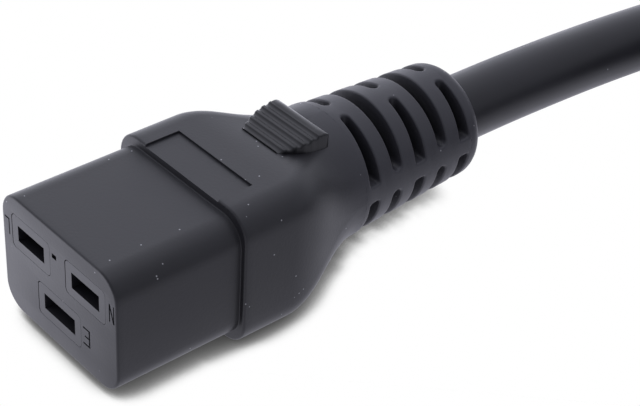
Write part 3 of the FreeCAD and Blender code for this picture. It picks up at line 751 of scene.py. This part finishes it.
def slot_ends(quarter, side_shift):
    """The angles at which a quarter's slot ends, for a radius: at level ledges beside, at upright ones on top."""
    side = (
        lambda r: np.arcsin((SIDE_HIGH + side_shift) / r),
        lambda r: math.pi - np.arcsin((SIDE_HIGH + side_shift) / r),
        lambda r: math.pi - np.arcsin(SIDE_LOW / r),
        lambda r: 2 * math.pi + np.arcsin(SIDE_LOW / r),
    )[quarter]
    top = (
        lambda r: np.arccos(TOP_RIGHT / r),
        lambda r: np.arccos(TOP_LEFT / r),
        lambda r: 2 * math.pi - np.arccos(TOP_LEFT / r),
        lambda r: 2 * math.pi - np.arccos(TOP_RIGHT / r),
    )[quarter]
    return side, top


def slot_loop(middle, ends, powers, half_width, radius, offset, fill, count):
    """A slot's outline as (angle, y) at a radius: two long sides, and ends that are superellipses."""
    begins, halves = [], []
    for end, sign in zip(ends, (1, -1)):
        at = end(radius)
        half = half_width(at + sign * END_MARGIN / radius)
        begins.append(at + sign * half / radius)
        halves.append((half + offset) * fill)
    angle = np.linspace(*begins, count)
    half = (half_width(angle) + offset) * fill
    turn = np.linspace(-math.pi / 2, math.pi / 2, CAP_POINTS + 2)[1:-1]
    caps = []
    for begin, size, power, sign in zip(begins, halves, powers, (-1, 1)):
        reach = (np.abs(np.cos(turn)) ** power + np.abs(np.sin(turn)) ** power) ** (-1 / power) * size
        caps.append((begin + sign * reach * np.cos(turn) / radius, middle + reach * np.sin(turn)))
    angles = np.concatenate([angle, caps[1][0], angle[::-1], caps[0][0][::-1]])
    ys = np.concatenate([middle - half, caps[1][1], (middle + half)[::-1], caps[0][1][::-1]])
    return angles, ys


def cell(middle, edges, columns, ends, powers, half_width, taper):
    """A stretch of skin with one slot: loops from its border over the slot's rounded edge to its floor's middle."""
    count = len(columns)
    across = np.linspace(*edges, CAP_POINTS + 2)[1:-1]
    first, last = (np.full(CAP_POINTS, column) for column in (columns[0], columns[-1]))
    angle = np.concatenate([columns, last, columns[::-1], first])
    y = np.concatenate([np.full(count, edges[0]), across, np.full(count, edges[1]), across[::-1]])
    surface = taper(middle)
    full = surface - RING_FLOOR
    levels = [(SLOT_BORDER, 0.0, 1.0)]   # how far outside the slot's half width, how deep, and the share of the width
    for a in np.radians([0, 30, 60, 90]):
        levels.append((RING_EDGE * (1 - math.sin(a)), RING_EDGE * (1 - math.cos(a)), 1.0))
    for a in np.radians([0, 45, 90]):
        levels.append((-ROOT_FILLET * (1 - math.cos(a)), full - ROOT_FILLET * (1 - math.sin(a)), 1.0))
    levels += [(-ROOT_FILLET, full, 0.5), (-ROOT_FILLET, full, 0.0)]
    loops = [(angle, y, taper(y))]
    for offset, depth, fill in levels:
        angle, y = slot_loop(middle, ends, powers, half_width, surface - depth, offset, fill, count)
        skin = taper(y)
        deep = RING_FLOOR + (skin - RING_FLOOR) * (1 - depth / full)
        loops.append((angle, y, deep if depth > RING_EDGE else skin - depth))
    between = tuple((a + b) / 2 for a, b in zip(loops[0][:2], loops[1][:2]))
    loops.insert(1, (*between, taper(between[1])))
    grid = np.stack([np.stack([r * np.cos(a), y, r * np.sin(a)], axis=-1) for a, y, r in loops])
    return grid.reshape(-1, 3), grid_faces(*grid.shape[:2], True)


def boot(start, rise, sizes):
    """The strain relief: cells of slotted skin round a cone, its rounded rear end and the hole that the lead fills."""
    front, rear, length = sizes.boot_front, sizes.boot_rear, sizes.boot_length

    def taper(y):
        """The cone's radius, with the neck's lip eased into it."""
        return front + (rear - front) * y / length + s_curve(NECK_LIP, 0.0, np.clip(y / COLLAR, 0, 1))

    mean = (front + rear) / 2
    side = math.asin((SIDE_HIGH + SIDE_LOW) / 2 / mean)
    top = math.acos((TOP_RIGHT + TOP_LEFT) / 2 / mean)
    corners = [side, top, math.pi - side, 2 * math.pi - top, 2 * math.pi + side]
    quarters = [np.linspace(a, b, QUARTER_COLUMNS + 1) for a, b in zip(corners, corners[1:])]
    last = length - LAST_STRETCH_END
    shells, edge = [], 0.0
    for ring in range(RING_COUNT):
        middle = RING_FIRST + RING_PITCH * ring
        edges = (edge, min(middle + RING_PITCH / 2, last))
        edge = edges[1]
        if ring % 2 == 0:
            for quarter, columns in enumerate(quarters):
                beside, above = slot_ends(quarter, 0.0)
                ends, powers = (beside, above), (BLUNT_END, ROUND_END)
                if quarter % 2:
                    ends, powers = ends[::-1], powers[::-1]
                shells.append(cell(middle, edges, columns, ends, powers, split_slot, taper))
        else:
            for half in (0, 2):
                columns = np.concatenate([quarters[half], quarters[half + 1][1:]])
                ends = [slot_ends(quarter, LONG_SLOT_SHIFT)[0] for quarter in (half, half + 1)]
                shells.append(cell(middle, edges, columns, ends, (ROUND_END, ROUND_END), long_slot, taper))
    angle = np.concatenate([columns[:-1] for columns in quarters])
    s = np.linspace(0, math.pi / 2, 9)
    round_y = length - END_ROUND * (1 - np.sin(s))
    round_radius = taper(length - END_ROUND) - END_ROUND * (1 - np.cos(s))
    ys = np.concatenate([[last], round_y, [length, length - LEAD_HOLE_DEPTH]])
    radii = np.concatenate([[taper(last)], round_radius, [LEAD_HOLE, LEAD_HOLE]])[:, None]
    across_y = np.broadcast_to(ys[:, None], (len(ys), len(angle)))
    grid = np.stack([radii * np.cos(angle), across_y, radii * np.sin(angle)], axis=-1)
    faces = grid_faces(*grid.shape[:2], True)
    back = np.arange(len(angle)) + (len(ys) - 1) * len(angle)
    shells.append(capped(grid.reshape(-1, 3), faces, back, ys[-1]))
    mouth = taper(0.0)
    ring = np.stack([mouth * np.cos(angle), np.zeros(len(angle)), mouth * np.sin(angle)], axis=-1)
    shells.append(capped(ring, [], np.arange(len(angle)), 0.0))
    points, faces = gathered(*shells)
    return points + (0.0, start, rise), faces


def mark_slot_shade(relief, start, sizes):
    """Say how deep each point is in a slot, as the share of painted shade there: nought on the cone's skin, 1 from
    SLOT_SHADE_FULL below it.
    """
    count = len(relief.data.vertices)
    points = np.empty(count * 3)
    relief.data.vertices.foreach_get("co", points)
    x, y, z = points.reshape(-1, 3).T
    along = np.clip((y - start) / sizes.boot_length, 0, 1)
    cone = sizes.boot_front + (sizes.boot_rear - sizes.boot_front) * along
    depth = cone - np.hypot(x, z - sizes.boot_rise)
    share = np.clip((depth - SLOT_SHADE_START) / (SLOT_SHADE_FULL - SLOT_SHADE_START), 0, 1)
    share[y > start + sizes.boot_length - LAST_STRETCH_END] = 0
    slot_shade = relief.data.attributes.new("slot_shade", "FLOAT", "POINT")
    slot_shade.data.foreach_set("value", share.astype(np.float32))


# Thumb grip

GRIP_START = 34.7 * MM
GRIP_SHIFT = 0.1 * MM
GRIP_FRONT_HALF = 4.05 * MM
GRIP_REAR_HALF = 5.75 * MM
GRIP_WIDENS = 5.2 * MM
GRIP_ROOT = 7.4 * MM
GRIP_EDGE = 0.3 * MM
GRIP_CORNER = 0.9 * MM
GRIP_ROWS = 190
CREST_ROWS = 13
RAMP_FOOT = 11.27 * MM
RAMP_SLOPE = 0.183
RAMP_LENGTH = 6.6 * MM
RIB_COUNT = 5
RIB_FIRST = 0.32 * MM
RIB_PITCH = 1.37 * MM
RIB_RADIUS = 0.56 * MM
RIB_LIFT = 0.31 * MM
RIB_SOFT = 0.05 * MM
CREST_RADIUS = 1.45 * MM
CREST_PLACE = 7.2 * MM
CREST_RISE = 10.95 * MM
FAR = 1.0   # metres, beyond any of the part's sizes


def thumb_grip():
    """Height over (y, x): a ramp less a circular scoop per rib, then a round crest; both sides and corners rounded."""
    y = np.linspace(0, CREST_PLACE, GRIP_ROWS)
    z = RAMP_FOOT + RAMP_SLOPE * y
    for rib in range(RIB_COUNT):
        middle = RIB_FIRST + RIB_PITCH * rib
        centre = RAMP_FOOT + RAMP_SLOPE * middle + RIB_LIFT
        depth = np.sqrt(np.clip(RIB_RADIUS**2 - (y - middle) ** 2, 0, None))
        scoop = np.where(np.abs(y - middle) < RIB_RADIUS, centre - depth, FAR)
        z = (z + scoop - np.sqrt((z - scoop) ** 2 + RIB_SOFT**2)) / 2
    z = np.where(y < RAMP_LENGTH, z, 0)
    crest = CREST_RISE + np.sqrt(np.clip(CREST_RADIUS**2 - (y - CREST_PLACE) ** 2, 0, None))
    z = np.where(y > CREST_PLACE - CREST_RADIUS, np.maximum(z, crest), z)
    t = np.linspace(0, math.pi / 2, CREST_ROWS + 1)[1:]
    end = CREST_PLACE + CREST_RADIUS
    y = np.concatenate([[0.0], y, CREST_PLACE + CREST_RADIUS * np.sin(t), [end]])
    z = np.concatenate([[GRIP_ROOT], z, CREST_RISE + CREST_RADIUS * np.cos(t), [GRIP_ROOT]])
    widened = np.sin(np.clip(y / GRIP_WIDENS, 0, 1) * math.pi / 2)
    half = GRIP_FRONT_HALF + (GRIP_REAR_HALF - GRIP_FRONT_HALF) * widened
    past = np.clip(y - end + GRIP_CORNER, 0, GRIP_CORNER)
    half = half - GRIP_CORNER + np.sqrt(GRIP_CORNER**2 - past**2)
    s = np.radians([0, 30, 60, 90])
    inset = np.concatenate([[0.0], GRIP_EDGE * (1 - np.cos(s))])
    drop = np.concatenate([[FAR], GRIP_EDGE * (1 - np.sin(s))])
    flat = np.linspace(1, -1, 9)[1:-1]
    left = -(half[:, None] - inset)
    x = np.hstack([left, -(half[:, None] - GRIP_EDGE) * flat, -left[:, ::-1]]) + GRIP_SHIFT
    dropped = np.concatenate([drop, np.zeros(len(flat)), drop[::-1]])
    height = np.maximum(z[:, None] - dropped[None, :], GRIP_ROOT)
    grid = np.stack([x, np.broadcast_to(GRIP_START + y[:, None], x.shape), height], axis=-1)
    return grid.reshape(-1, 3), grid_faces(*grid.shape[:2], False)


# Operators


class CONNECTOR_OT_body(bpy.types.Operator):
    """Build the connector's moulded body, strain relief and thumb grip"""

    bl_idname = "connector.body"
    bl_label = "Connector body"

    def execute(self, context):
        sizes = context.scene.connector_sizes
        colours = context.scene.finish_colours
        flange_end = sizes.block_length + sizes.flange_length
        boot_start = flange_end + sizes.shoulder_length
        # From the middle of the shoulder onto the strain relief, the moulding is painted paler as sheen
        sheen_span = ((flange_end + boot_start) / 2, boot_start)
        pvc = moulded_pvc("moulded_pvc", colours.moulding, sheen_span)
        add_piece("connector_body", *connector_body(sizes), pvc, "black_pvc", ["connector_overmould"])
        skin = boot(boot_start, sizes.boot_rise, sizes)
        relief = add_piece("connector_strain_relief", *skin, pvc, "black_pvc", ["connector_overmould"])
        # Painted shade in the slots, carried by the slot_shade attribute
        mark_slot_shade(relief, boot_start, sizes)
        # The grip is moulded with the body; its darker colour is painted shade
        shaded_grip_pvc = moulded_pvc("shaded_grip_pvc", shaded(colours.moulding, GRIP_SHADE_TONE))
        add_piece("thumb_grip", *thumb_grip(), shaded_grip_pvc, "black_pvc", ["connector_overmould"])
        return {"FINISHED"}


class CONNECTOR_OT_inner_pieces(bpy.types.Operator):
    """Give the carrier, contacts, cores, conductors, pins and the plug's pieces their finishes"""

    bl_idname = "connector.inner_pieces"
    bl_label = "Inner pieces and plug"

    def execute(self, context):
        colours = context.scene.finish_colours
        insert = moulded_pvc("hard_insert", shaded(colours.moulding, INSERT_TONE))
        plug_pvc = moulded_pvc("plug_pvc", colours.moulding)
        inner = moulded_pvc("inner_moulding_pvc", INNER_GREY)
        jacket = moulded_pvc("jacket_inside", colours.jacket)
        brass = sheet_metal("contact_brass", colours.brass)
        plated = sheet_metal("plated_pin", colours.plated)
        copper = sheet_metal("bare_copper", colours.copper)
        cores = {
            "line": insulation("brown_insulation", colours.brown),
            "neutral": insulation("blue_insulation", colours.blue),
            "earth": insulation("striped_insulation", colours.green, STRIPE_YELLOW),
        }
        finishes = {
            "contact_carrier": insert, "plug_pin_carrier": insert, "plug_overmould": plug_pvc,
            "inner_moulding": inner, "plug_inner_moulding": inner,
            "jacket_end": jacket, "plug_jacket_end": jacket,
        }
        for pole, core in cores.items():
            finishes[f"{pole}_contact"] = brass
            finishes[f"plug_{pole}_pin"] = plated
            for prefix in ("", "plug_"):
                finishes[f"{prefix}{pole}_core"] = core
                finishes[f"{prefix}{pole}_conductor"] = copper
        for node, material in finishes.items():
            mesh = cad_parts[node].data
            mesh.materials.clear()
            mesh.materials.append(material)
        return {"FINISHED"}


# The lead: the routes of its two ends in millimetres, and the coil between them

EXIT_ROUTE = (
    (0.0, 72.5, 0.7), (0.0, 82.0, 0.7), (0.1, 94.0, 0.38), (0.25, 106.0, -0.12),
    (0.6, 118.0, -0.82), (1.1, 130.0, -1.6),
)
TAIL_ROUTE = (
    (131.6, 130.0, 3.0), (131.2, 117.0, 2.48), (130.3, 105.0, 1.9), (129.2, 94.0, 1.35),
    (128.5, 83.0, 0.95), (128.5, 72.0, 0.95),
)
COIL_CENTRE = (68.0, 172.0)
COIL_TURNS = 3.5
COIL_START = 180   # degrees, as the ways that follow
WAY_IN = (260, 340)
WAY_UP = (620, 700)
WAY_OUT = (980, 1060)


def coil_route(sizes):
    """Turns of the lead on a level circle. The strand moves to the inner side, up to the next layer, and back to the
    outer side, each along half a cosine wave of the angle turned."""
    middle = sizes.coil_radius / MM
    strand = sizes.diameter / MM / 2
    count = int(COIL_TURNS * sizes.points_per_turn)
    turned = np.linspace(0, COIL_TURNS * 360, count + 1)

    def step(first, last):
        """0 before the first angle, 1 after the last, half a cosine wave between."""
        share = np.clip((turned - first) / (last - first), 0, 1)
        return (1 - np.cos(math.pi * share)) / 2

    side = 1 - 2 * step(*WAY_IN) + 2 * step(*WAY_OUT)
    layer = -1 + 2 * step(*WAY_UP)
    angle = math.radians(COIL_START) - np.radians(turned)
    radius = middle + strand * side
    x = COIL_CENTRE[0] + radius * np.cos(angle)
    y = COIL_CENTRE[1] + radius * np.sin(angle)
    height = FLOOR / MM + strand * 2 + strand * layer
    return np.stack([x, y, height], axis=-1)


class CONNECTOR_OT_lead(bpy.types.Operator):
    """Lay the lead from the connector through its coil to the plug"""

    bl_idname = "connector.lead"
    bl_label = "Lead"

    def execute(self, context):
        sizes = context.scene.cord_sizes
        colours = context.scene.finish_colours
        route = np.vstack([EXIT_ROUTE, coil_route(sizes), TAIL_ROUTE]) * MM
        curve = bpy.data.curves.new("lead", "CURVE")
        curve.dimensions = "3D"
        curve.resolution_u = 6
        curve.bevel_depth = sizes.diameter / 2
        curve.bevel_resolution = 10
        curve.use_fill_caps = True
        spline = curve.splines.new("NURBS")
        spline.points.add(len(route) - 1)
        spline.points.foreach_set("co", np.hstack([route, np.ones((len(route), 1))]).ravel())
        spline.order_u = 3
        spline.use_endpoint_u = True
        curve.materials.append(moulded_pvc("lead_jacket", colours.jacket))
        lead = bpy.data.objects.new("lead", curve)
        context.scene.collection.objects.link(lead)
        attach(lead, "root")
        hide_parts("cord_tube", "cord_coil", "cord_tail")
        return {"FINISHED"}


# Stage

FLOOR_REACH = 3.0
SENSOR_WIDTH = 36.0   # millimetres, as the lens
NEAREST = 10 * MM
FLOOR_WHITE = (0.8, 0.8, 0.8, 1.0)
SHADE_REACH = 6 * MM
SHADE_SAMPLES = 24
SHADE = (   # openness of a place on the floor, and how white it is
    (0.0, 0.03), (0.2, 0.08), (0.33, 0.14), (0.42, 0.22), (0.48, 0.36), (0.52, 0.52), (0.56, 0.72), (0.60, 0.88),
    (0.64, 0.96), (0.70, 1.0),
)
MIRRORED_WHITE = (0.97, 0.97, 1.1, 1.0)
MIRRORED_SIDES = (-18 * MM, 26 * MM, 1.7, 0.57)   # from and to along X: glossy surfaces see the left side brighter
MIRRORED_SHADE = (0.0, 0.5, 0.55, 1.0)   # from and to in openness
STUDIO_WHITE = (0.95, 0.965, 1.09, 1.0)
STUDIO_BASE = 0.3
LOBES = (   # azimuth and elevation in degrees, narrowness, strength
    (180, 8, 8.0, 1.25), (135, 8, 8.0, 0.95), (90, 8, 8.0, 0.25), (45, 8, 8.0, 0.2),
    (180, 38, 8.0, 0.35), (225, 38, 8.0, 0.25), (135, 68, 8.0, 0.65), (45, 68, 8.0, 0.35),
)


def floor_material():
    """White paper: plain and diffuse for light, white with a shade close to the object for the camera, and white with
    a fainter shade, brighter on the left, where a glossy or clear surface mirrors it."""
    material, shader, tree, add = new_material("white_paper")
    shader.inputs["Base Color"].default_value = FLOOR_WHITE
    shader.inputs["Roughness"].default_value = 0.9
    shader.inputs["Specular IOR Level"].default_value = 0.0
    closeness = add("ShaderNodeAmbientOcclusion", Distance=SHADE_REACH)
    closeness.samples = SHADE_SAMPLES
    shade = add("ShaderNodeValToRGB")
    stops = shade.color_ramp.elements
    while len(stops) < len(SHADE):
        stops.new(1.0)
    for stop, (openness, grey) in zip(stops, SHADE):
        stop.position = openness
        stop.color = (grey, grey, grey, 1.0)
    tree.links.new(closeness.outputs["AO"], shade.inputs["Fac"])
    seen = add("ShaderNodeEmission")
    tree.links.new(shade.outputs["Color"], seen.inputs["Color"])
    across = add("ShaderNodeSeparateXYZ")
    tree.links.new(add("ShaderNodeTexCoord").outputs["Object"], across.inputs["Vector"])
    side = ranged(tree, add, across.outputs["X"], *MIRRORED_SIDES)
    near = ranged(tree, add, closeness.outputs["AO"], *MIRRORED_SHADE)
    mirrored = add("ShaderNodeEmission", Color=MIRRORED_WHITE)
    tree.links.new(maths(tree, "MULTIPLY", side, near), mirrored.inputs["Strength"])
    rays = add("ShaderNodeLightPath")
    either = maths(tree, "MAXIMUM", rays.outputs["Is Glossy Ray"], rays.outputs["Is Transmission Ray"])
    bounced = mixed_shaders(tree, either, shader.outputs[0], mirrored.outputs[0])
    whole = mixed_shaders(tree, rays.outputs["Is Camera Ray"], bounced, seen.outputs[0])
    tree.links.new(whole, tree.nodes["Material Output"].inputs["Surface"])
    return material


def soft_world(scene):
    """A dim even surround with a few broad soft lobes of light, plain white to the camera. A lobe is the cosine of the
    angle from its direction to a power, none behind it."""
    world = bpy.data.worlds.new("studio")
    world.use_nodes = True
    scene.world = world
    tree = world.node_tree
    place = tree.nodes.new("ShaderNodeTexCoord").outputs["Generated"]
    strength = STUDIO_BASE
    for azimuth, elevation, power, amount in LOBES:
        a, e = math.radians(azimuth), math.radians(elevation)
        toward = tree.nodes.new("ShaderNodeVectorMath")
        toward.operation = "DOT_PRODUCT"
        toward.inputs[1].default_value = (math.cos(e) * math.cos(a), math.cos(e) * math.sin(a), math.sin(e))
        tree.links.new(place, toward.inputs[0])
        lobe = maths(tree, "POWER", maths(tree, "MAXIMUM", toward.outputs["Value"], 0.0), power)
        strength = maths(tree, "MULTIPLY_ADD", lobe, amount, strength)
    seen = tree.nodes["Background"]
    seen.inputs["Color"].default_value = (1.0, 1.0, 1.0, 1.0)
    seen.inputs["Strength"].default_value = 1.0
    lit = tree.nodes.new("ShaderNodeBackground")
    lit.inputs["Color"].default_value = STUDIO_WHITE
    tree.links.new(strength, lit.inputs["Strength"])
    rays = tree.nodes.new("ShaderNodeLightPath")
    whole = mixed_shaders(tree, rays.outputs["Is Camera Ray"], lit.outputs[0], seen.outputs[0])
    tree.links.new(whole, tree.nodes["World Output"].inputs["Surface"])


def floor_mesh():
    """A level square under the part."""
    mesh = bpy.data.meshes.new("floor")
    corners = [(x * FLOOR_REACH, y * FLOOR_REACH, FLOOR) for x, y in ((-1, -1), (1, -1), (1, 1), (-1, 1))]
    mesh.from_pydata(corners, [], [(0, 1, 2, 3)])
    mesh.materials.append(floor_material())
    return mesh


class CONNECTOR_OT_stage(bpy.types.Operator):
    """Set the floor, the surround's light and the camera"""

    bl_idname = "connector.stage"
    bl_label = "Stage"

    def execute(self, context):
        scene = context.scene
        settings = scene.stage_settings
        floor = bpy.data.objects.new("floor", floor_mesh())
        scene.collection.objects.link(floor)
        soft_world(scene)
        data = bpy.data.cameras.new("camera")
        data.lens = settings.lens
        data.sensor_width = SENSOR_WIDTH
        data.clip_start = NEAREST
        camera = bpy.data.objects.new("camera", data)
        place, aim = Vector(settings.camera_place), Vector(settings.camera_aim)
        towards = (aim - place).to_track_quat("-Z", "Y")
        roll = Euler((0, 0, settings.camera_roll)).to_quaternion()
        camera.location = place
        camera.rotation_euler = (towards @ roll).to_euler()
        scene.collection.objects.link(camera)
        scene.camera = camera
        scene.view_settings.view_transform = "Standard"
        return {"FINISHED"}


OPERATORS = (CONNECTOR_OT_body, CONNECTOR_OT_inner_pieces, CONNECTOR_OT_lead, CONNECTOR_OT_stage)


class CONNECTOR_PT_panel(bpy.types.Panel):
    """Lists the operators in the order in which they run"""

    bl_idname = "CONNECTOR_PT_panel"
    bl_label = "Moulded Connector"
    bl_space_type = "VIEW_3D"
    bl_region_type = "UI"
    bl_category = "Connector"

    def draw(self, context):
        for operator in OPERATORS:
            self.layout.operator(operator.bl_idname)


CLASSES = (*SETTINGS.values(), *OPERATORS, CONNECTOR_PT_panel)


def register():
    """Register the classes, and give the scene its settings."""
    for cls in CLASSES:
        bpy.utils.register_class(cls)
    for word, cls in SETTINGS.items():
        setattr(bpy.types.Scene, word, PointerProperty(type=cls))


def unregister():
    """Take away what register gave."""
    for word in SETTINGS:
        delattr(bpy.types.Scene, word)
    for cls in reversed(CLASSES):
        bpy.utils.unregister_class(cls)


def main():
    """Make the part and its stage."""
    register()
    bpy.ops.connector.body()
    bpy.ops.connector.inner_pieces()
    bpy.ops.connector.lead()
    bpy.ops.connector.stage()


if __name__ == "__main__":
    main()
